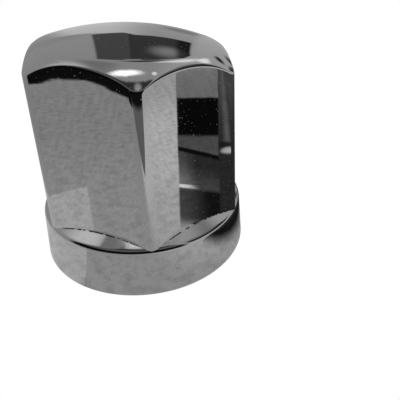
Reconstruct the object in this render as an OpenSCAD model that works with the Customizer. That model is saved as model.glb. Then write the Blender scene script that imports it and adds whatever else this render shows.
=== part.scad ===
// Push-on cover cap for a hexagon wheel nut.
// One moulded and plated shell, standing on its collar, with the open end down.
// Millimetres, +Z up. The origin is the centre of the collar's open end.
// Two of the hexagon's upright edges lie in the Y axis, and the grip plate is on the +X flat.

/* [Nut] */
// Width across the flats of the wheel nut that the cap grips
nut_af = 33; // [31:0.5:34]

/* [Collar] */
// Outside diameter at the open end
collar_d = 55; // [54:0.5:58]
// Ledge that the collar's upper edge leaves round the body's upright edges
corner_ledge = 0.3; // [0:0.1:1]
// Height of the collar's upper edge
collar_h = 13.4; // [11:0.2:16]
// Rounding of the collar's upper edge
collar_edge_r = 0.8; // [0.3:0.1:1.2]
// Rounding of both edges of the lip at the open end
lip_r = 0.6; // [0.2:0.1:0.7]
// Rise of the shelf from the collar's edge to the middle of a flat
shelf_rise = 2; // [1:0.1:3]

/* [Body] */
// Overall height of the cap
cap_h = 55.5; // [52:0.5:60]
// Draft of the flats, in degrees
draft = 3; // [2:0.25:3.5]
// Radius of the six upright edges
corner_r = 3; // [1.5:0.1:4]
// Radius of the blend from a flat into the rounded rim
arch_r = 1.2; // [0.8:0.1:2]

/* [Top] */
// Distance from the edge of the low dome out to the foot of a flat
dome_inset = 4.1; // [3.4:0.1:5]
// Slope of the dome at its edge, in degrees
dome_slope = 18; // [14:0.5:20]
// Radius of the shoulder round the dome
shoulder_r = 5; // [4:0.5:7]
// Slope at which the shoulder runs into the rim, in degrees
rim_slope = 37; // [34:1:44]
// Radius of the rim below the shoulder
rim_r = 19; // [15:0.5:23]

/* [Walls] */
// Wall of the body and of the top
wall = 2; // [1.5:0.1:2.3]
// Wall of the collar
collar_wall = 2; // [1.5:0.1:2.3]

/* [Ribs] */
// Thickness of a rib
rib_w = 1.1; // [0.8:0.1:1.6]
// Height of a rib's foot above the inside of its flat
rib_h = 4.4; // [4:0.1:4.8]
// Spacing of the two ribs on a flat
rib_pitch = 9.8; // [6:0.2:14]
// Height of the ribs' lower ends above the collar's upper edge
rib_rise = 0.6; // [0.4:0.1:6]

/* [Grip plate] */
// Thickness of the grip plate
plate_t = 1; // [0.8:0.1:1.4]
// Height of the plate's lower edge above the collar's upper edge
plate_rise = 0.2; // [0.1:0.1:6]
// Width of the springy tongue in the middle of the plate
tongue_w = 12.4; // [8:0.2:16]
// Width of the slot on each side of the tongue
slot_w = 2.2; // [1.5:0.1:3]
// Length of the two slots
slot_l = 22; // [12:1:26]
// Number of stop ribs behind the plate
stop_count = 5; // [3:1:5]
// Spacing of the stop ribs
stop_pitch = 4.7; // [3:0.1:5]
// Height of a stop rib above the flat behind the plate
stop_h = 1.6; // [1:0.1:2]

/* [Hidden] */

SIDES = 6;
sector = 360 / SIDES;
flat_steps = 8;    // spans of the loft across one flat
corner_steps = 6;  // spans round one upright edge
blend_steps = 5;   // spans from a flat into the rim
rim_steps = 9;     // spans over the rim and the shoulder
dome_steps = 5;    // spans from the shoulder to the middle of the dome
bite = 0.5;        // how far a rib or the plate runs into the wall that carries it
over = 1;          // how far a cut runs past the face that it opens
grip_side = 0;     // direction of the flat that has the grip plate
round_fn = 96;

nut_apothem = nut_af / 2;                   // the ribs and the grip plate touch the nut here
body_af = nut_af + 2 * (rib_h + wall);      // across the flats, level with the collar's upper edge
corner_d = (body_af - 2 * corner_r) / cos(sector / 2) + 2 * corner_r;   // across the upright edges
collar_top_d = corner_d + 2 * corner_ledge;
dome_d = body_af - 2 * dome_inset;
lap_z = collar_h / 2;                       // the body starts here, inside the collar
rib_start = collar_h + rib_rise;
plate_start = collar_h + plate_rise;
collar_slope = (collar_d - collar_top_d) / 2 / collar_h;
shelf_slope = shelf_rise / ((collar_top_d - body_af) / 2);
shelf_drop = wall * sqrt(1 + pow(shelf_slope, 2));   // the wall, measured upright

// The top's section is three arcs in a row: the dome, the shoulder and the rim
dome_r = dome_d / 2 / sin(dome_slope);
dome_c = [0, cap_h - dome_r];
shoulder_c = dome_c + (dome_r - shoulder_r) * toward(dome_slope);
rim_c = shoulder_c + (shoulder_r - rim_r) * toward(rim_slope);

// Unit vector at angle a, measured from +Z towards +R
function toward(a) = [sin(a), cos(a)];

// Apothem of the hexagon at height z
function apothem(z) = body_af / 2 - (z - collar_h) * tan(draft);

// Radius of the rounded hexagon at height z, along a direction a degrees from a flat's normal
function side_r(a, z) =
    let (ap = apothem(z), off = abs(a),
         corner = ap / cos(sector / 2) - corner_r / cos(sector / 2),
         tangent = atan((corner * sin(sector / 2)) / ap),
         b = sector / 2 - off)
    off <= tangent ? ap / cos(off)
                   : corner * cos(b) + sqrt(pow(corner_r, 2) - pow(corner * sin(b), 2));

// Points of an arc, from angle a0 to a1
function arc(c, r, a0, a1, n) = [for (i = [0 : n]) c + r * toward(a0 + (a1 - a0) * i / n)];
function without_first(list) = [for (i = [1 : len(list) - 1]) list[i]];

// Point of the rim or the shoulder that has slope a, set in by w
function rim_point(a, w) = a > rim_slope ? rim_c + (rim_r - w) * toward(a)
                                         : shoulder_c + (shoulder_r - w) * toward(a);

// Section of the top, set in by w, from slope a_out to the middle
function top_section(w, a_out) = concat(
    [for (i = [0 : rim_steps]) rim_point(a_out + (dome_slope - a_out) * i / rim_steps, w)],
    without_first(arc(dome_c, dome_r - w, dome_slope, 0, dome_steps)));

// Centre of a blend of radius arch_r between the side line r = foot - z * lean and an arc inside it
function blend_centre(foot, lean, c, r) =
    let (k = sqrt(1 + lean * lean),
         f = foot - arch_r * k - c.x,
         half = f * lean + c.y,
         rest = f * f + pow(c.y, 2) - pow(r - arch_r, 2),
         z = (half + sqrt(half * half - k * k * rest)) / (k * k))
    [foot - arch_r * k - lean * z, z];

// Slope at which a blend centred on b meets the arc round c
function meets(b, c) = atan2(b.x - c.x, b.y - c.y);

// One line of the skin, from the collar up the side, over the rim and up the dome
function meridian(a) =
    let (low = side_r(a, lap_z), high = side_r(a, rim_c.y), lean = (low - high) / (rim_c.y - lap_z),
         foot = low + lean * lap_z,
         on_rim = blend_centre(foot, lean, rim_c, rim_r),
         low_blend = meets(on_rim, rim_c) > rim_slope,
         b = low_blend ? on_rim : blend_centre(foot, lean, shoulder_c, shoulder_r),
         a_rim = meets(b, low_blend ? rim_c : shoulder_c))
    concat([[low, lap_z]],
           arc(b, arch_r, 90 - atan(lean), a_rim, blend_steps),
           without_first(top_section(0, a_rim)));

// Directions of the loft's lines within one sector, from a flat's normal
corner_apothem = apothem(cap_h / 2);
corner_start = atan((corner_apothem - corner_r) * tan(sector / 2) / corner_apothem);
sector_dirs = concat(
    [for (i = [0 : flat_steps - 1]) -corner_start + 2 * corner_start * i / flat_steps],
    [for (i = [0 : corner_steps - 1]) corner_start + (sector - 2 * corner_start) * i / corner_steps]);

// Distance of direction a from the nearest flat's normal
function from_flat(a) = a > sector / 2 ? a - sector : a;

module outer_body() {
    lines = [for (a = sector_dirs) meridian(from_flat(a))];
    per_ring = SIDES * len(sector_dirs);
    rings = len(lines[0]) - 1;
    points = [for (i = [0 : rings - 1], k = [0 : SIDES - 1], j = [0 : len(sector_dirs) - 1])
        let (p = lines[j][i], dir = grip_side + k * sector + sector_dirs[j])
        [p.x * cos(dir), p.x * sin(dir), p.y]];
    sides = [for (i = [0 : rings - 2], j = [0 : per_ring - 1])
        let (n = (j + 1) % per_ring, low = i * per_ring, high = low + per_ring)
        each [[low + j, high + j, high + n], [low + j, high + n, low + n]]];
    last = (rings - 1) * per_ring;
    foot = rings * per_ring;
    apex = foot + 1;
    ends = [for (j = [0 : per_ring - 1]) let (n = (j + 1) % per_ring)
        each [[foot, j, n], [last + j, apex, last + n]]];
    polyhedron(concat(points, [[0, 0, lap_z], [0, 0, cap_h]]), concat(sides, ends));
}

module collar() {
    top_r = collar_top_d / 2;
    edge_c = [top_r - collar_edge_r, collar_h - collar_edge_r];
    shelf_angle = atan(shelf_slope);
    shelf_top = edge_c.y + collar_edge_r / cos(shelf_angle) + (edge_c.x - nut_apothem) * shelf_slope;
    rotate_extrude($fn = round_fn)
        polygon(concat(
            [[0, 0]],
            arc([collar_d / 2 - lip_r, lip_r], lip_r, 180, 90, 5),
            arc(edge_c, collar_edge_r, 90 - atan(collar_slope), shelf_angle, 5),
            [[nut_apothem, shelf_top], [0, shelf_top]]));
}

// Space inside the body, grown by g: the hexagon socket under the rim and the dome
module socket(g) {
    inset = wall - g;
    intersection() {
        translate([0, 0, lap_z])
            rotate(grip_side + sector / 2)
                cylinder(h = cap_h - lap_z, $fn = SIDES,
                         r1 = (apothem(lap_z) - inset) / cos(sector / 2),
                         r2 = (apothem(cap_h) - inset) / cos(sector / 2));
        rotate_extrude($fn = round_fn)
            polygon(concat([[0, 0], [collar_d / 2, 0]], top_section(inset, 90)));
    }
}

// Round space inside the collar, up to the underside of the shelf
module collar_space() {
    mouth_r = collar_d / 2 - collar_wall;
    top_r = collar_top_d / 2 - collar_wall;
    top_z = collar_h - shelf_drop;
    roof_z = top_z + (top_r - nut_apothem) * shelf_slope;
    rotate_extrude($fn = round_fn)
        polygon(concat(
            [[0, -over], [mouth_r + lip_r, -over]],
            arc([mouth_r + lip_r, lip_r], lip_r, 180, 270, 5),
            [[top_r, top_z], [nut_apothem, roof_z], [0, roof_z]]));
}

// A rib along the inside of the +X flat: a straight web with a round inner edge
module rib(y, tip, z0) {
    translate([tip + rib_w / 2, y, z0]) {
        cylinder(h = cap_h - z0, d = rib_w, $fn = 24);
        translate([0, -rib_w / 2, 0]) cube([body_af / 2 - tip, rib_w, cap_h - z0]);
    }
}

module nut_ribs() {
    for (k = [1 : SIDES - 1], side = [-1, 1])
        rotate(grip_side + k * sector) rib(side * rib_pitch / 2, nut_apothem, rib_start);
}

module stop_ribs() {
    tip = apothem(rib_start) - wall - stop_h;
    rotate(grip_side)
        for (i = [0 : stop_count - 1]) rib((i - (stop_count - 1) / 2) * stop_pitch, tip, rib_start);
}

module grip_plate() {
    rotate(grip_side) difference() {
        translate([nut_apothem, -body_af / 2, plate_start]) cube([plate_t, body_af, cap_h - plate_start]);
        for (side = [-1, 1])
            translate([nut_apothem - over, side * (tongue_w + slot_w) / 2, plate_start - over]) {
                translate([0, -slot_w / 2, 0]) cube([plate_t + 2 * over, slot_w, slot_l + over - slot_w / 2]);
                translate([0, 0, slot_l + over - slot_w / 2])
                    rotate([0, 90, 0]) cylinder(h = plate_t + 2 * over, d = slot_w, $fn = 32);
            }
    }
}

module cap() {
    color("silver") {
        difference() {
            union() {
                outer_body();
                collar();
            }
            socket(0);
            collar_space();
        }
        intersection() {
            union() {
                nut_ribs();
                stop_ribs();
                grip_plate();
            }
            socket(bite);
        }
    }
}

cap();
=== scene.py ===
"""Looks of a push-on cover cap for a wheel nut: a moulded, bright plated shell in a small studio."""

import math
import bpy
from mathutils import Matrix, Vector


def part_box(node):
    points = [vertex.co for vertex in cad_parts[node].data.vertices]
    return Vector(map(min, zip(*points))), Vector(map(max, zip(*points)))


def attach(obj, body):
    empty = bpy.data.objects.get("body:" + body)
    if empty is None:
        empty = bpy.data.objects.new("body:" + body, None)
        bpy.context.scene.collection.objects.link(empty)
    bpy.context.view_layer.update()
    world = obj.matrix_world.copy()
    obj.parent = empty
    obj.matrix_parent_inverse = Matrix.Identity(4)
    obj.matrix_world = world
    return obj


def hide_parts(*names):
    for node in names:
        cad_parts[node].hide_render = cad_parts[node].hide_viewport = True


bl_info = {
    "name": "Wheel nut cover cap",
    "version": (1, 0, 0),
    "blender": (4, 5, 0),
    "location": "View3D > Sidebar > Nut cap",
    "description": "Models the plated shell of a wheel nut cover cap and the studio that it stands in",
    "category": "Object",
}

from collections import namedtuple

import bpy
from bpy.props import FloatProperty, IntProperty, PointerProperty
from mathutils import Matrix, Vector

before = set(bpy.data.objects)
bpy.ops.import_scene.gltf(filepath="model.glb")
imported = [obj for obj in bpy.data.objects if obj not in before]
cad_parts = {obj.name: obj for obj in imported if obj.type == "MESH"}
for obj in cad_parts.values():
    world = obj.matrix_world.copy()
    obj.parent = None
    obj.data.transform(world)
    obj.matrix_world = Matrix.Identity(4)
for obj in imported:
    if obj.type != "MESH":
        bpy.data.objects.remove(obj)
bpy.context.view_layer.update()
CAP_LOW, CAP_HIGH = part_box("cap")

MM = 0.001
SIDES = 6
SECTOR = math.tau / SIDES
WELD = 0.001 * MM
RIB_SKIN = 0.5 * MM
RIB_ROUNDING = 0.499
SHADE_ANGLE = math.radians(25)
DEGREES = math.degrees(1)

TABLE_Z = CAP_LOW.z
TABLE_GAP = 0.05 * MM
TABLE_EDGE_R = 27.3 * MM
TABLE_GROWTH = 29.5
TENT_R = 0.8
FLOOR_SIZE = 6

CAMERA_PLACE = Vector((0.14, -89.65, 69)) * MM
CAMERA_HEADING = math.radians(16.79)
CAMERA_TILT = math.radians(33.76)
CAMERA_ROLL = math.radians(3.99)
CAMERA_LENS = 32.52
CAMERA_SHIFT = -0.095


class CapSizes(bpy.types.PropertyGroup):
    """Sizes of the moulded shell."""

    height: FloatProperty(
        name="Height", description="From the lip to the middle of the dome",
        default=CAP_HIGH.z, unit="LENGTH")
    collar_d: FloatProperty(
        name="Collar", description="Diameter at the open end",
        default=CAP_HIGH.x - CAP_LOW.x, unit="LENGTH")
    collar_top_d: FloatProperty(
        name="Collar top", description="Diameter at the collar's upper edge",
        default=52.557 * MM, unit="LENGTH")
    collar_h: FloatProperty(
        name="Collar height", description="Height of the collar's upper edge",
        default=13.4 * MM, unit="LENGTH")
    collar_edge_r: FloatProperty(
        name="Collar edge", description="Rounding of the collar's upper edge",
        default=1.5 * MM, unit="LENGTH")
    shelf_sag: FloatProperty(
        name="Shelf sag", description="How far the shelf's middle is hollowed",
        default=0.04 * MM, unit="LENGTH")
    lip_r: FloatProperty(
        name="Lip rounding", description="Rounding of both edges of the lip",
        default=0.6 * MM, unit="LENGTH")
    shelf_rise: FloatProperty(
        name="Shelf rise", description="Rise of the shelf towards a flat",
        default=2 * MM, unit="LENGTH")
    body_af: FloatProperty(
        name="Across flats", description="Width across the flats at the collar",
        default=45.8 * MM, unit="LENGTH")
    draft: FloatProperty(
        name="Draft", description="Lean of the flats",
        default=math.radians(3), unit="ROTATION")
    corner_r: FloatProperty(
        name="Upright edges", description="Radius of the six upright edges",
        default=3 * MM, unit="LENGTH")
    arch_r: FloatProperty(
        name="Arch blend", description="Radius from a flat into the rim",
        default=1.2 * MM, unit="LENGTH")
    dome_d: FloatProperty(
        name="Dome", description="Diameter of the low dome that closes the top",
        default=37.6 * MM, unit="LENGTH")
    dome_slope: FloatProperty(
        name="Dome slope", description="Slope of the dome at its edge",
        default=math.radians(18), unit="ROTATION")
    shoulder_r: FloatProperty(
        name="Shoulder", description="Radius of the shoulder round the dome",
        default=5 * MM, unit="LENGTH")
    rim_slope: FloatProperty(
        name="Rim slope", description="Slope at which the shoulder runs into the rim",
        default=math.radians(37), unit="ROTATION")
    rim_r: FloatProperty(
        name="Rim", description="Radius of the rim below the shoulder",
        default=19 * MM, unit="LENGTH")
    wall: FloatProperty(
        name="Wall", description="Wall of the body, top and collar",
        default=2 * MM, unit="LENGTH")
    nut_af: FloatProperty(
        name="Nut", description="Width across the flats of the nut",
        default=33 * MM, unit="LENGTH")
    rib_w: FloatProperty(
        name="Rib", description="Thickness of a rib",
        default=1.1 * MM, unit="LENGTH")
    rib_pitch: FloatProperty(
        name="Rib spacing", description="Spacing of the two ribs on a flat",
        default=9.8 * MM, unit="LENGTH")
    rib_start: FloatProperty(
        name="Rib start", description="Height of the ribs' lower ends",
        default=14 * MM, unit="LENGTH")
    plate_t: FloatProperty(
        name="Grip plate", description="Thickness of the grip plate",
        default=1 * MM, unit="LENGTH")
    plate_start: FloatProperty(
        name="Plate start", description="Height of the plate's lower edge",
        default=13.6 * MM, unit="LENGTH")
    tongue_w: FloatProperty(
        name="Tongue", description="Width of the plate's springy tongue",
        default=12.4 * MM, unit="LENGTH")
    slot_w: FloatProperty(
        name="Slot", description="Width of the slot beside the tongue",
        default=2.2 * MM, unit="LENGTH")
    slot_l: FloatProperty(
        name="Slot length", description="Length of the slots",
        default=22 * MM, unit="LENGTH")
    stop_count: IntProperty(
        name="Stop ribs", description="Number of ribs behind the plate",
        default=5)
    stop_pitch: FloatProperty(
        name="Stop spacing", description="Spacing of the stop ribs",
        default=4.7 * MM, unit="LENGTH")
    stop_h: FloatProperty(
        name="Stop height", description="Height of a stop rib",
        default=1.6 * MM, unit="LENGTH")


class CapMesh(bpy.types.PropertyGroup):
    """How finely the shell is drawn."""

    flat_spans: IntProperty(
        name="Across a flat", description="Spans of the skin across one flat",
        default=24)
    corner_spans: IntProperty(
        name="Round an edge", description="Spans round one upright edge",
        default=12)
    side_spans: IntProperty(
        name="Up a side", description="Spans up one flat",
        default=6)
    blend_spans: IntProperty(
        name="Arch blend", description="Spans from a flat into the rim",
        default=10)
    rim_spans: IntProperty(
        name="Rim", description="Spans over the rim and the shoulder",
        default=30)
    dome_spans: IntProperty(
        name="Dome", description="Spans from the shoulder to the middle",
        default=24)
    edge_spans: IntProperty(
        name="Small edges", description="Spans round a small rounding",
        default=6)
    round_steps: IntProperty(
        name="Round the collar", description="Steps round the collar",
        default=240)


Top = namedtuple("Top", "dome_c dome_r shoulder_c rim_c")


def toward(angle):
    """Unit vector of a section, its angle measured from straight up towards the outside."""
    return Vector((math.sin(angle), math.cos(angle)))


def top_of(s):
    """The top's section is three arcs in a row: the dome, the shoulder and the rim."""
    dome_r = s.dome_d / 2 / math.sin(s.dome_slope)
    dome_c = Vector((0, s.height - dome_r))
    shoulder_c = dome_c + (dome_r - s.shoulder_r) * toward(s.dome_slope)
    rim_c = shoulder_c + (s.shoulder_r - s.rim_r) * toward(s.rim_slope)
    return Top(dome_c, dome_r, shoulder_c, rim_c)


def arc(centre, radius, start, stop, spans):
    """Points of an arc from angle start to angle stop."""
    return [Vector(centre) + radius * toward(start + (stop - start) * i / spans) for i in range(spans + 1)]


def top_section(s, m, top, inset, start):
    """Section of the top, set in by inset, from slope start to the middle."""
    points = []
    for i in range(m.rim_spans + 1):
        slope = start + (s.dome_slope - start) * i / m.rim_spans
        centre, radius = (top.rim_c, s.rim_r) if slope > s.rim_slope else (top.shoulder_c, s.shoulder_r)
        points.append(centre + (radius - inset) * toward(slope))
    return points + arc(top.dome_c, top.dome_r - inset, s.dome_slope, 0, m.dome_spans)[1:]


def apothem(s, z):
    """Distance of a flat from the axis at height z."""
    return s.body_af / 2 - (z - s.collar_h) * math.tan(s.draft)


def side_radius(s, off, z):
    """Radius of the rounded hexagon at height z, in a direction off from a flat's normal."""
    flat = apothem(s, z)
    corner = (flat - s.corner_r) / math.cos(SECTOR / 2)
    if off <= math.atan(corner * math.sin(SECTOR / 2) / flat):
        return flat / math.cos(off)
    b = SECTOR / 2 - off
    return corner * math.cos(b) + math.sqrt(s.corner_r**2 - (corner * math.sin(b)) ** 2)


def blend_centre(s, foot, lean, centre, radius):
    """Centre of a blend between the side line r = foot - z * lean and an arc inside it."""
    slant = math.hypot(1, lean)
    gap = foot - s.arch_r * slant - centre.x
    half = gap * lean + centre.y
    rest = gap**2 + centre.y**2 - (radius - s.arch_r) ** 2
    z = (half + math.sqrt(half**2 - slant**2 * rest)) / slant**2
    return Vector((foot - s.arch_r * slant - lean * z, z))


def meridian(s, m, off):
    """One line of the skin from the collar up the side, over the rim and up the dome."""
    top = top_of(s)
    lap_z = s.collar_h / 2
    low = side_radius(s, off, lap_z)
    high = side_radius(s, off, top.rim_c.y)
    lean = (low - high) / (top.rim_c.y - lap_z)
    for centre, radius in ((top.rim_c, s.rim_r), (top.shoulder_c, s.shoulder_r)):
        middle = blend_centre(s, low + lean * lap_z, lean, centre, radius)
        slope = math.atan2(middle.x - centre.x, middle.y - centre.y)
        if slope > s.rim_slope:
            break
    blend = arc(middle, s.arch_r, math.pi / 2 - math.atan(lean), slope, m.blend_spans)
    foot = Vector((low, lap_z))
    side = [foot.lerp(blend[0], i / m.side_spans) for i in range(m.side_spans)]
    side.append(side[-1].lerp(blend[0], 0.9))
    return side + blend + top_section(s, m, top, 0, slope)[1:]


def skin_directions(s, m):
    """Directions of the skin's lines in one sector, from a flat's middle to the next one's."""
    middle = apothem(s, s.height / 2)
    start = math.atan((middle - s.corner_r) * math.tan(SECTOR / 2) / middle)
    half = m.flat_spans // 2
    rising = [start * i / (half - 1) for i in range(half - 1)] + [start * (1 - 0.1 / half)]
    across = [start + (SECTOR - 2 * start) * i / m.corner_spans for i in range(m.corner_spans + 1)]
    return rising + across + [SECTOR - d for d in reversed(rising[1:])]


def draw_section(name, points):
    """A chain of edges in the XZ plane, drawn point by point from a plane merged to one vertex."""
    bpy.ops.object.select_all(action="DESELECT")
    bpy.ops.mesh.primitive_plane_add(size=MM)
    obj = bpy.context.object
    obj.name = name
    bpy.ops.object.mode_set(mode="EDIT")
    bpy.ops.mesh.select_all(action="SELECT")
    bpy.ops.mesh.merge(type="CENTER")
    bpy.ops.transform.translate(value=(points[0].x, 0, points[0].y))
    for here, there in zip(points, points[1:]):
        step = there - here
        bpy.ops.mesh.extrude_vertices_move(TRANSFORM_OT_translate={"value": (step.x, 0, step.y)})
    bpy.ops.object.mode_set(mode="OBJECT")
    return obj


def spin_section(name, points, steps):
    """A solid of revolution round the cap's axis, each vertex marked with its place in the section."""
    obj = draw_section(name, points)
    mark = obj.data.attributes.new("place", "INT", "POINT")
    for vertex, value in zip(obj.data.vertices, mark.data):
        here = vertex.co.xz
        value.value = min(range(len(points)), key=lambda i: (points[i] - here).length)
    bpy.ops.object.mode_set(mode="EDIT")
    bpy.ops.mesh.select_all(action="SELECT")
    bpy.ops.mesh.spin(steps=steps, angle=math.tau, center=(0, 0, 0), axis=(0, 0, 1))
    bpy.ops.mesh.select_all(action="SELECT")
    bpy.ops.mesh.remove_doubles(threshold=WELD)
    bpy.ops.mesh.normals_make_consistent(inside=False)
    bpy.ops.object.mode_set(mode="OBJECT")
    return obj


def press_flats(obj, s, m):
    """Moves a round skin's vertices in to the six flats, each along its own line of the section."""
    directions = skin_directions(s, m)
    lines = [meridian(s, m, min(d, SECTOR - d)) for d in directions]
    step = math.tau / (SIDES * len(directions))
    places = obj.data.attributes["place"].data
    for vertex, place in zip(obj.data.vertices, places):
        if place.value == 0 or math.hypot(vertex.co.x, vertex.co.y) < WELD:
            continue
        count = round(math.atan2(vertex.co.y, vertex.co.x) / step)
        sector, number = divmod(count, len(directions))
        angle = sector * SECTOR + directions[number]
        point = lines[number][place.value - 1]
        vertex.co = (point.x * math.cos(angle), point.x * math.sin(angle), point.y)


def cut(obj, tool, operation):
    """Cuts or joins obj with another solid, and removes that solid."""
    bpy.ops.object.select_all(action="DESELECT")
    obj.select_set(True)
    bpy.context.view_layer.objects.active = obj
    change = obj.modifiers.new(operation.lower(), "BOOLEAN")
    change.operation = operation
    change.solver = "MANIFOLD"
    change.object = tool
    change.material_mode = "TRANSFER"
    bpy.ops.object.modifier_apply(modifier=change.name)
    bpy.data.objects.remove(tool)
    return obj


def collar_outline(s, m):
    """Section of the collar and its shelf, from the lip's middle to a point inside the body."""
    slope = s.shelf_rise / ((s.collar_top_d - s.body_af) / 2)
    tilt = math.atan(slope)
    side = math.atan((s.collar_d - s.collar_top_d) / 2 / s.collar_h)
    edge = Vector((s.collar_top_d / 2 - s.collar_edge_r, s.collar_h - s.collar_edge_r))
    top = edge.y + s.collar_edge_r / math.cos(tilt) + (edge.x - s.nut_af / 2) * slope
    lip = arc((s.collar_d / 2 - s.lip_r, s.lip_r), s.lip_r, math.pi, math.pi / 2, m.edge_spans)
    upper = arc(edge, s.collar_edge_r, math.pi / 2 - side, tilt, m.edge_spans)
    near = [lip[-1].lerp(upper[0], t) for t in (0.02, 0.5, 0.98)]
    inner = Vector((s.nut_af / 2, top))
    shelf = [upper[-1].lerp(inner, t) - Vector((0, s.shelf_sag * math.sin(math.pi * t)))
             for t in (0.02, 0.1, 0.2, 0.3, 0.4, 0.5, 0.6, 0.7, 0.8, 0.9)]
    return [Vector((0, 0))] + lip + near + upper + shelf + [inner, Vector((0, top))]


def hollow_outline(s, m):
    """Section of the round space inside the collar, up to the underside of the shelf."""
    slope = s.shelf_rise / ((s.collar_top_d - s.body_af) / 2)
    mouth = s.collar_d / 2 - s.wall
    top = Vector((s.collar_top_d / 2 - s.wall, s.collar_h - s.wall * math.hypot(1, slope)))
    roof = top.y + (top.x - s.nut_af / 2) * slope
    lip = arc((mouth + s.lip_r, s.lip_r), s.lip_r, math.pi, math.pi * 1.5, m.edge_spans)
    below = -s.wall
    return [Vector((0, below)), Vector((mouth + s.lip_r, below))] + lip + [
        lip[-1].lerp(top, 0.02), lip[-1].lerp(top, 0.98), top, Vector((s.nut_af / 2, roof)), Vector((0, roof))]


def socket_tool(s, m, grow):
    """The space inside the body, grown by grow: a tapered hexagon under the rim and the dome."""
    inset = s.wall - grow
    lap_z = s.collar_h / 2
    outline = [Vector((0, 0)), Vector((s.collar_d / 2, 0))] + top_section(s, m, top_of(s), inset, math.pi / 2)
    tool = spin_section("socket_roof", outline, m.round_steps)
    depth = s.height - lap_z
    bpy.ops.object.select_all(action="DESELECT")
    bpy.ops.mesh.primitive_cone_add(
        vertices=SIDES,
        radius1=(apothem(s, lap_z) - inset) / math.cos(SECTOR / 2),
        radius2=(apothem(s, s.height) - inset) / math.cos(SECTOR / 2),
        depth=depth,
        location=(0, 0, lap_z + depth / 2),
    )
    bpy.ops.object.transform_apply()
    return cut(tool, bpy.context.object, "INTERSECT")


def rib_at(s, y, tip, start, angle, name):
    """A rib inside a flat: a straight web with a round inner edge, turned to its flat."""
    length = s.body_af / 2 - tip
    bpy.ops.object.select_all(action="DESELECT")
    bpy.ops.mesh.primitive_cube_add(size=1, location=(tip + length / 2, y, (start + s.height) / 2))
    rib = bpy.context.object
    rib.name = name
    rib.scale = (length, s.rib_w, s.height - start)
    bpy.ops.object.transform_apply()
    bpy.ops.object.mode_set(mode="EDIT")
    bpy.ops.mesh.select_all(action="DESELECT")
    bpy.ops.object.mode_set(mode="OBJECT")
    for edge in rib.data.edges:
        a, b = (rib.data.vertices[i].co for i in edge.vertices)
        edge.select = abs(a.x - tip) < WELD and abs(b.x - tip) < WELD and abs(a.y - b.y) < WELD
    bpy.ops.object.mode_set(mode="EDIT")
    bpy.ops.mesh.bevel(offset=RIB_ROUNDING * s.rib_w, segments=6, affect="EDGES")
    bpy.ops.object.mode_set(mode="OBJECT")
    rib.rotation_euler = (0, 0, angle)
    bpy.ops.object.transform_apply()
    return rib


def join(objects, name):
    """Joins objects into one mesh."""
    bpy.ops.object.select_all(action="DESELECT")
    for obj in objects:
        obj.select_set(True)
    bpy.context.view_layer.objects.active = objects[0]
    bpy.ops.object.join()
    objects[0].name = name
    return objects[0]


def box_at(name, low, high):
    """A block between two corners."""
    low, high = Vector(low), Vector(high)
    bpy.ops.object.select_all(action="DESELECT")
    bpy.ops.mesh.primitive_cube_add(size=1, location=(low + high) / 2)
    obj = bpy.context.object
    obj.name = name
    obj.scale = high - low
    bpy.ops.object.transform_apply()
    return obj


def grip_plate(s):
    """The slotted plate in front of one flat, its tongue free on three sides."""
    face = s.nut_af / 2
    plate = box_at(
        "grip_plate", (face, -s.body_af / 2, s.plate_start), (face + s.plate_t, s.body_af / 2, s.height))
    for side in (-1, 1):
        middle = side * (s.tongue_w + s.slot_w) / 2
        slot = box_at(
            "slot",
            (face - s.wall, middle - s.slot_w / 2, s.plate_start - s.wall),
            (face + s.wall, middle + s.slot_w / 2, s.plate_start + s.slot_l),
        )
        cut(plate, slot, "DIFFERENCE")
    return plate


class NUTCAP_OT_shell(bpy.types.Operator):
    """Models the shell's skin, collar and hollow"""

    bl_idname = "nutcap.shell"
    bl_label = "Shell"

    def execute(self, context):
        s = context.scene.cap_sizes
        m = context.scene.cap_mesh
        steps = SIDES * len(skin_directions(s, m))
        skin = [Vector((0, s.collar_h / 2))] + meridian(s, m, SECTOR / 2)
        shell = spin_section("cap_moulding", skin, steps)
        press_flats(shell, s, m)
        shell.data.materials.append(plating_material())
        collar = spin_section("collar", collar_outline(s, m), m.round_steps)
        collar.data.materials.append(plating_material())
        cut(shell, collar, "UNION")
        space = spin_section("collar_space", hollow_outline(s, m), m.round_steps)
        for tool in (socket_tool(s, m, 0), space):
            tool.data.materials.clear()
            tool.data.materials.append(inside_material_with_painted_shade())
            cut(shell, tool, "DIFFERENCE")
        return {"FINISHED"}


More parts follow.
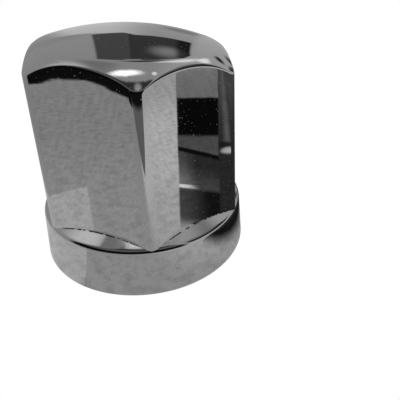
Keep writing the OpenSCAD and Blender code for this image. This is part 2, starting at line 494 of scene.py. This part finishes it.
class NUTCAP_OT_ribs(bpy.types.Operator):
    """Models the nut ribs, the stop ribs and the grip plate, and joins them to the shell"""

    bl_idname = "nutcap.ribs"
    bl_label = "Ribs and grip plate"

    def execute(self, context):
        s = context.scene.cap_sizes
        m = context.scene.cap_mesh
        shell = bpy.data.objects["cap_moulding"]
        inner = [
            rib_at(s, side * s.rib_pitch / 2, s.nut_af / 2, s.rib_start, flat * SECTOR, f"rib_{flat}_{side}")
            for flat in range(1, SIDES)
            for side in (-1, 1)
        ]
        stop_tip = apothem(s, s.rib_start) - s.wall - s.stop_h
        inner += [
            rib_at(s, (i - (s.stop_count - 1) / 2) * s.stop_pitch, stop_tip, s.rib_start, 0, f"stop_rib_{i}")
            for i in range(s.stop_count)
        ]
        ribs = join(inner + [grip_plate(s)], "ribs")
        ribs.data.materials.clear()
        ribs.data.materials.append(inside_material_with_painted_shade())
        cut(ribs, socket_tool(s, m, RIB_SKIN), "INTERSECT")
        cut(shell, ribs, "UNION")
        bpy.ops.object.select_all(action="DESELECT")
        shell.select_set(True)
        context.view_layer.objects.active = shell
        bpy.ops.object.shade_smooth_by_angle(angle=SHADE_ANGLE)
        keep = shell.modifiers.new("flat_shading", "WEIGHTED_NORMAL")
        keep.keep_sharp = True
        bpy.ops.object.modifier_apply(modifier=keep.name)
        shell.data.attributes.remove(shell.data.attributes["place"])
        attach(shell, "root")
        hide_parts("cap")
        return {"FINISHED"}


class Value:
    """A number or colour of a shader, so that its maths can be written as a formula."""

    def __init__(self, tree, socket):
        self.tree = tree
        self.socket = socket

    def node(self, kind, inputs, output=0, **settings):
        """Adds a node with its inputs by name or number, and wraps one of its outputs."""
        made = self.tree.nodes.new(kind)
        for name, value in settings.items():
            setattr(made, name, value)
        for name, value in inputs.items():
            if isinstance(value, Value):
                self.tree.links.new(value.socket, made.inputs[name])
            else:
                made.inputs[name].default_value = value
        return Value(self.tree, made.outputs[output])

    def math(self, operation, *others):
        """Adds a Math node on this value and the others."""
        inputs = {0: self}
        inputs.update(enumerate(others, start=1))
        return self.node("ShaderNodeMath", inputs, operation=operation)

    def __add__(self, other):
        return self.math("ADD", other)

    def __sub__(self, other):
        return self.math("SUBTRACT", other)

    def __rsub__(self, other):
        return (self * -1) + other

    def __mul__(self, other):
        return self.math("MULTIPLY", other)

    def __truediv__(self, other):
        return self.math("DIVIDE", other)

    def __abs__(self):
        return self.math("ABSOLUTE")

    __radd__ = __add__
    __rmul__ = __mul__

    def rise(self, low, high, start=0.0, stop=1.0):
        """Runs softly from start to stop while the value goes from low to high."""
        inputs = {"Value": self, "From Min": low, "From Max": high, "To Min": start, "To Max": stop}
        return self.node("ShaderNodeMapRange", inputs, interpolation_type="SMOOTHSTEP")

    def within(self, low, high, soft):
        """1 while the value is between low and high, and 0 outside."""
        return self.rise(low - soft, low + soft) * self.rise(high - soft, high + soft, 1, 0)

    def under(self, other, share):
        """This value with another laid over it, as far as the share says."""
        return self + (self * -1 + other) * share

    def parts(self):
        """The three numbers of a vector."""
        return [self.node("ShaderNodeSeparateXYZ", {0: self}, output=i) for i in range(3)]

    def noise(self, size, detail):
        """Soft cloudy noise between 0 and 1 whose lumps are about size wide."""
        return self.node("ShaderNodeTexNoise", {"Vector": self, "Scale": 1 / size, "Detail": detail})

    def mix(self, first, second):
        """Mixes two shaders by this value."""
        return self.node("ShaderNodeMixShader", {0: self, 1: first, 2: second})

    def grey(self):
        """The value as a grey colour."""
        return self.node("ShaderNodeCombineColor", {0: self, 1: self, 2: self})


def new_material(name):
    """An empty node material, and its object coordinates to build on."""
    material = bpy.data.materials.new(name)
    material.use_nodes = True
    tree = material.node_tree
    tree.nodes.clear()
    tree.nodes.new("ShaderNodeOutputMaterial")
    return material, Value(tree, None).node("ShaderNodeTexCoord", {}, output="Object")


def distance(x, y):
    """Length of the vector x, y."""
    return (x * x + y * y).math("SQRT")


def surface(value):
    """Makes a shader the surface of its material."""
    output = next(n for n in value.tree.nodes if n.type == "OUTPUT_MATERIAL")
    value.tree.links.new(value.socket, output.inputs["Surface"])


def painted_crease_shade(place):
    """1 in the thin line of painted shade where the flats meet the shelf, broken here and there, and 0
    elsewhere.
    """
    s = bpy.context.scene.cap_sizes
    x, y, z = place.parts()
    across = abs(x)
    for i in (1, 2):
        across = across.math("MAXIMUM", abs(x * math.cos(i * SECTOR) + y * math.sin(i * SECTOR)))
    slope = s.shelf_rise / ((s.collar_top_d - s.body_af) / 2)
    foot = s.collar_h - s.collar_edge_r + s.collar_edge_r * math.hypot(1, slope)
    above_shelf = z - foot + (distance(x, y) - s.collar_top_d / 2 + s.collar_edge_r) * slope
    off_flat = across - apothem(s, s.collar_h + s.shelf_rise / 2)
    near, far = 0.05 * MM, 0.3 * MM
    line = above_shelf.rise(near, 0.25 * MM, 1, 0) * off_flat.rise(near, far, 1, 0)
    above_collar = z.rise(s.collar_h, s.collar_h + far)
    return line * above_collar * place.noise(1.2 * MM, 1).rise(0.35, 0.55)


def plating(name, tone, roughness, wave):
    """Plating on moulded plastic: a mirror with waves, haze and dust, and painted shade where the flats meet
    the shelf.
    """
    if name in bpy.data.materials:
        return bpy.data.materials[name]
    material, place = new_material(name)
    haze = place.noise(5 * MM, 3).rise(0.35, 0.75, roughness * 0.8, roughness * 1.5)
    dust = place.noise(0.3 * MM, 0).rise(0.8, 0.83, 0, 0.6)
    waves = place.noise(7 * MM, 1) * wave + place.noise(0.7 * MM, 2) * (wave * 0.02)
    normal = place.node("ShaderNodeBump", {"Height": waves, "Strength": 1.0, "Distance": 1.0})
    # the base colour darkens to painted shade in the thin line where the flats meet the shelf
    colour = painted_crease_shade(place).rise(0, 1, tone, tone * 0.08).grey()
    surface(place.node("ShaderNodeBsdfPrincipled", {
        "Base Color": colour, "Metallic": 1.0, "Roughness": haze + dust, "Normal": normal}))
    return material


def plating_material():
    """The bright plating on everything that shows from outside."""
    return plating("bright_plating", tone=0.62, roughness=0.02, wave=0.01 * MM)


def inside_material_with_painted_shade():
    """The darker plating inside: partly thinner plating, partly painted shade for the deep hollow."""
    # the lower tone is partly painted shade in the hollow, partly the thinner plating
    return plating("inside_plating_painted_shade", tone=0.42, roughness=0.1, wave=0.01 * MM)


def seen_in_plating_only(obj):
    """Leaves a card to mirror rays: it is not in the picture and throws no light or shadow."""
    obj.visible_camera = False
    obj.visible_diffuse = False
    obj.visible_transmission = False
    obj.visible_volume_scatter = False
    obj.visible_shadow = False
    return obj


def spot(x, y, centre, size, soft=0.5):
    """1 inside an ellipse and 0 outside it, with a soft border."""
    return distance((x - centre[0]) / size[0], (y - centre[1]) / size[1]).rise(1 - soft, 1 + soft, 1, 0)


def right_bands(x, first):
    """Bands of the table at the right: a dark one far out, a slanted line, and a glint near the cap."""
    block = x - first * 0.2
    line = x + first * 0.32
    band = block.rise(178, 184, 0.004, 0.22) * x.rise(200, 400, 1, 1.5)
    band = band.under(0.1, block.rise(104, 110, 1, 0))
    band = band.under(0.006, line.rise(92, 94, 1, 0))
    inner = line.rise(58, 78, 0.22, 0.09) * first.rise(1, 9, 1, 0.35)
    band = band.under(inner, line.rise(86.5, 89, 1, 0))
    band = band.under(first.rise(0, 12, 0.08, 0.01), x.rise(51.5, 55, 1, 0))
    return band.under(0.9, x.within(53.6, 56.2, 0.4) * first.rise(2, 9, 1, 0))


def right_streaks(x, y, second):
    """Narrow streaks of the table beyond the bands."""
    streak = x.rise(100, 230, 0.035, 0.08)
    streak = streak.under(0.13, second.within(3, 6, 1.5))
    streak = streak.under(0.02, x.within(96, 104, 2))
    streak = streak.under(0.03, x.rise(92, 96, 1, 0))
    return streak.under(0.6, spot(x, y, (94, -37), (4, 3)))


def table_tone(place):
    """Brightness of the table round the cap, from places in millimetres and compass angles in degrees."""
    x, y = [part / MM for part in place.parts()[:2]]
    far = distance(x, y)
    az = x.math("ARCTAN2", y) * DEGREES
    tone = far.rise(45, 150, 0.385, 0.325)
    # a paler patch at the left, and a pale stretch at the front right
    left_patch = x.rise(-64.5, -63) * (x * 0.365 - y * 0.931).rise(13.2, 14, 1, 0)
    tone = tone.under(0.53, left_patch)
    pale = far.rise(60, 90, 0.53, 0.62) * far.rise(150, 230, 1, 0.78)
    tone = tone.under(pale, (x * 0.866 - y * 0.5).rise(20, 45))
    # the table's end in front, and beyond it the dark room
    end = (y + 97 + (x * 1.05).math("MAXIMUM", x * -0.65)).rise(-5, 3, 1, 0)
    tone = tone.under(far.rise(205, 235, 0.15, 0.008), end)
    # the table's curved end at the left, with a ragged border
    border = az.rise(-127, -115, 208, 276) + az.rise(-113, -108, 0, -22)
    border = border + place.noise(18 * MM, 3) * 24 - 12
    left = az.rise(-104, -98, 1, 0) * az.rise(-150, -140)
    tone = tone.under(0.006, (far - border).rise(-8, 4) * left)
    # two slanted borders at the right, with the bands and then the streaks beyond them
    first = x * 0.45 + y + 20.5
    second = x * 0.332 + y + 10.7
    tone = tone.under(right_bands(x, first), first.rise(-0.3, 0.5) * x.rise(25, 35))
    tone = tone.under(right_streaks(x, y, second), second.rise(-0.3, 0.5) * x.rise(35, 45))
    # wiping marks and stains
    wiped = place.node("ShaderNodeCombineXYZ", {0: az, 1: far.math("POWER", -1) * 900}).noise(0.8, 3)
    stained = place.noise(4 * MM, 3)
    return tone * wiped.rise(0.3, 0.65, 0.89, 1.04) * stained.rise(0.3, 0.6, 0.84, 1.04)


def window_tone(u, v):
    """Brightness of the dark window at the back, with a paler patch in it."""
    window = u.rise(-1.5, -0.7, 0.075, 0.045)
    window = window.under(0.25, spot(u, v, (11.5, 46), (5, 4), 0.8))
    return window * u.rise(13, 16, 1, 0.3)


def back_strip_tone(u, v):
    """Brightness of the pale strip low at the back."""
    strip = u.rise(-24, -16, 0.32, 0.58) * u.rise(-8, 8, 1, 0.62)
    strip = strip.under(0.22, spot(u, v, (15, 79), (6, 5), 0.6))
    return strip.under(0.45, u.rise(18, 22))


# Brightness, place and size of the small lamps and of the dark gaps between them, in degrees from
# straight up: first to the right, then to the back.
LAMPS = (
    (0.8, (14, 23), (5, 4)),
    (1.1, (24, 24), (9, 7)),
    (1.2, (38, 27), (5, 5)),
    (0.02, (46, 43), (4, 3)),
    (0.03, (48, 60), (4, 3)),
    (0.05, (56, 50), (3, 6)),
    (2.0, (-6, -7.5), (9, 3.5)),
    (1.2, (12, -8), (1.5, 2)),
    (0.4, (1, -27), (2.5, 6)),
)


def room_tone(place):
    """Brightness of the room above the table.

    All angles are in degrees: down is measured from straight up and az by the compass, and u and v
    are the same direction laid flat, to the right and to the back.
    """
    x, y, z = place.node("ShaderNodeVectorMath", {0: place}, operation="NORMALIZE").parts()
    down = z.math("ARCCOSINE") * DEGREES
    turn = x.math("ARCTAN2", y)
    az = turn * DEGREES
    u, v = turn.math("SINE") * down, turn.math("COSINE") * down
    # a grey room with paler and darker walls
    tone = u.rise(8, 28, 0.34, 0.45)
    tone = tone.under(0.2, az.within(80, 135, 8) * down.rise(20, 40))
    tone = tone.under(0.57, spot(u, v, (-42, 7), (14, 16)))
    tone = tone.under(0.7, (u * 0.73 + v * 0.68).within(-26.5, -22.5, 1.5) * v.within(0, 13, 4))
    tone = tone.under(0.22, spot(u, v, (-18, 12), (9, 16), 0.6))
    tone = tone.under(0.22, az.within(-115, -94, 2) * down.within(22, 34, 3))
    # a dark and a pale line low at the right, which the arch there mirrors
    right = az.within(80, 140, 5)
    tone = tone.under(0.03, right * down.within(46, 72, 3))
    tone = tone.under(0.7, right * down.within(76, 86, 2))
    tone = tone.under(0.3, u.rise(-18, -10, 1, 0) * v.rise(60, 66))
    # the dark side behind the camera
    dark = (down.rise(17, 21, 1, 0.12) + down.rise(28, 34, 0, 0.25)) * down.rise(50, 60, 1, 0.03)
    side = (az - down.rise(30, 38, -115, -95)).rise(-5, 5, 1, 0)
    tone = tone.under(tone * dark, side.math("MAXIMUM", az.rise(140, 150)))
    # the back, with the window over the pale strip
    tone = tone.under(back_strip_tone(u, v), (u * 0.55 + v).rise(58.5, 60.5) * v.rise(50, 58))
    top = (v + u.rise(-4, 2) * 3.5).rise(64, 65, 1, 0)
    tone = tone.under(window_tone(u, v), u.within(-12, 19, 0.6) * v.within(38, 64, 0.6) * top)
    tone = tone.under(0.03, spot(u, v, (4, 30), (8, 5)))
    uneven = place.noise(9 * MM, 3).rise(0.4, 0.6, 0.7, 1.1)
    for light, centre, size in LAMPS:
        tone = tone.under(uneven * light, spot(u, v, centre, size, 0.6))
    return tone


class NUTCAP_OT_stage(bpy.types.Operator):
    """Sets up the camera, the floor, the surroundings that the plating mirrors, and a lamp"""

    bl_idname = "nutcap.stage"
    bl_label = "Stage"

    def execute(self, context):
        scene = context.scene
        data = bpy.data.cameras.new("photo_camera")
        data.sensor_width = 36
        data.lens = CAMERA_LENS
        data.shift_x = CAMERA_SHIFT
        data.clip_start = 0.001
        camera = bpy.data.objects.new("photo_camera", data)
        scene.collection.objects.link(camera)
        camera.matrix_world = (
            Matrix.Translation(CAMERA_PLACE)
            @ Matrix.Rotation(-CAMERA_HEADING, 4, "Z")
            @ Matrix.Rotation(math.pi / 2 - CAMERA_TILT, 4, "X")
            @ Matrix.Rotation(CAMERA_ROLL, 4, "Z")
        )
        scene.camera = camera
        scene.view_settings.view_transform = "Standard"
        made = [camera, self.floor(), self.table_card(), self.tent(), self.lamp()]
        self.world(scene)
        return {"FINISHED"}

    def world(self, scene):
        """A world that is white in the picture and in mirrors, and softer as a light."""
        world = bpy.data.worlds.new("studio")
        scene.world = world
        world.use_nodes = True
        tree = world.node_tree
        ray = Value(tree, None).node("ShaderNodeLightPath", {}, output="Is Camera Ray")
        shown = ray
        for name in ("Is Glossy Ray", "Is Transmission Ray"):
            shown = shown + Value(tree, ray.socket.node.outputs[name])
        background = tree.nodes["Background"]
        background.inputs["Color"].default_value = (1, 1, 1, 1)
        tree.links.new(shown.rise(0, 1, 0.6, 1.0).socket, background.inputs["Strength"])

    def floor(self):
        """A white floor that fills the picture and keeps a trace of the cap's shadow."""
        bpy.ops.object.select_all(action="DESELECT")
        bpy.ops.mesh.primitive_grid_add(
            x_subdivisions=2, y_subdivisions=2, size=FLOOR_SIZE, location=(0, 0, TABLE_Z - TABLE_GAP))
        floor = bpy.context.object
        floor.name = "floor"
        material, place = new_material("white_floor")
        white = place.node("ShaderNodeEmission", {"Color": (1, 1, 1, 1), "Strength": 1.0})
        paint = place.node("ShaderNodeBsdfDiffuse", {"Color": (0.8, 0.8, 0.8, 1)})
        kept = place.node("ShaderNodeLightPath", {}, output="Is Camera Ray")
        surface((kept * 0.9 + 0.1).mix(paint, white))
        floor.data.materials.append(material)
        return floor

    def table_card(self):
        """The table round the cap, as a ring that only the plating mirrors."""
        bpy.ops.object.select_all(action="DESELECT")
        bpy.ops.mesh.primitive_circle_add(
            vertices=96, radius=TABLE_EDGE_R, location=(0, 0, TABLE_Z + TABLE_GAP))
        ring = bpy.context.object
        ring.name = "table_card"
        bpy.ops.object.mode_set(mode="EDIT")
        bpy.ops.mesh.select_all(action="SELECT")
        bpy.ops.mesh.extrude_edges_move()
        bpy.ops.transform.resize(value=(TABLE_GROWTH, TABLE_GROWTH, 1))
        bpy.ops.object.mode_set(mode="OBJECT")
        material, place = new_material("table_card")
        surface(place.node("ShaderNodeEmission", {"Color": table_tone(place).grey(), "Strength": 1.0}))
        ring.data.materials.append(material)
        return seen_in_plating_only(ring)

    def tent(self):
        """The room round the cap, as a dome that only the plating mirrors."""
        bpy.ops.object.select_all(action="DESELECT")
        bpy.ops.mesh.primitive_uv_sphere_add(segments=96, ring_count=48, radius=TENT_R)
        dome = bpy.context.object
        dome.name = "tent"
        bpy.ops.object.shade_smooth()
        material, place = new_material("tent")
        surface(place.node("ShaderNodeEmission", {"Color": room_tone(place).grey(), "Strength": 1.0}))
        dome.data.materials.append(material)
        return seen_in_plating_only(dome)

    def lamp(self):
        """A soft lamp from above that lights the floor and isn't mirrored."""
        bpy.ops.object.light_add(type="AREA", location=(-0.15, -0.1, 0.6))
        lamp = bpy.context.object
        lamp.name = "soft_lamp"
        lamp.data.shape = "DISK"
        lamp.data.size = 0.5
        lamp.data.energy = 4
        lamp.visible_glossy = False
        lamp.visible_camera = False
        return lamp


class NUTCAP_PT_panel(bpy.types.Panel):
    """Lists the steps that make the cap"""

    bl_label = "Nut cap"
    bl_space_type = "VIEW_3D"
    bl_region_type = "UI"
    bl_category = "Nut cap"

    def draw(self, context):
        for step in STEPS:
            self.layout.operator(step.bl_idname)


STEPS = (NUTCAP_OT_stage, NUTCAP_OT_shell, NUTCAP_OT_ribs)
CLASSES = (CapSizes, CapMesh) + STEPS + (NUTCAP_PT_panel,)


def register():
    for cls in CLASSES:
        bpy.utils.register_class(cls)
    bpy.types.Scene.cap_sizes = PointerProperty(type=CapSizes)
    bpy.types.Scene.cap_mesh = PointerProperty(type=CapMesh)


def unregister():
    del bpy.types.Scene.cap_mesh
    del bpy.types.Scene.cap_sizes
    for cls in reversed(CLASSES):
        bpy.utils.unregister_class(cls)


def main():
    register()
    bpy.ops.nutcap.stage()
    bpy.ops.nutcap.shell()
    bpy.ops.nutcap.ribs()


if __name__ == "__main__":
    main()
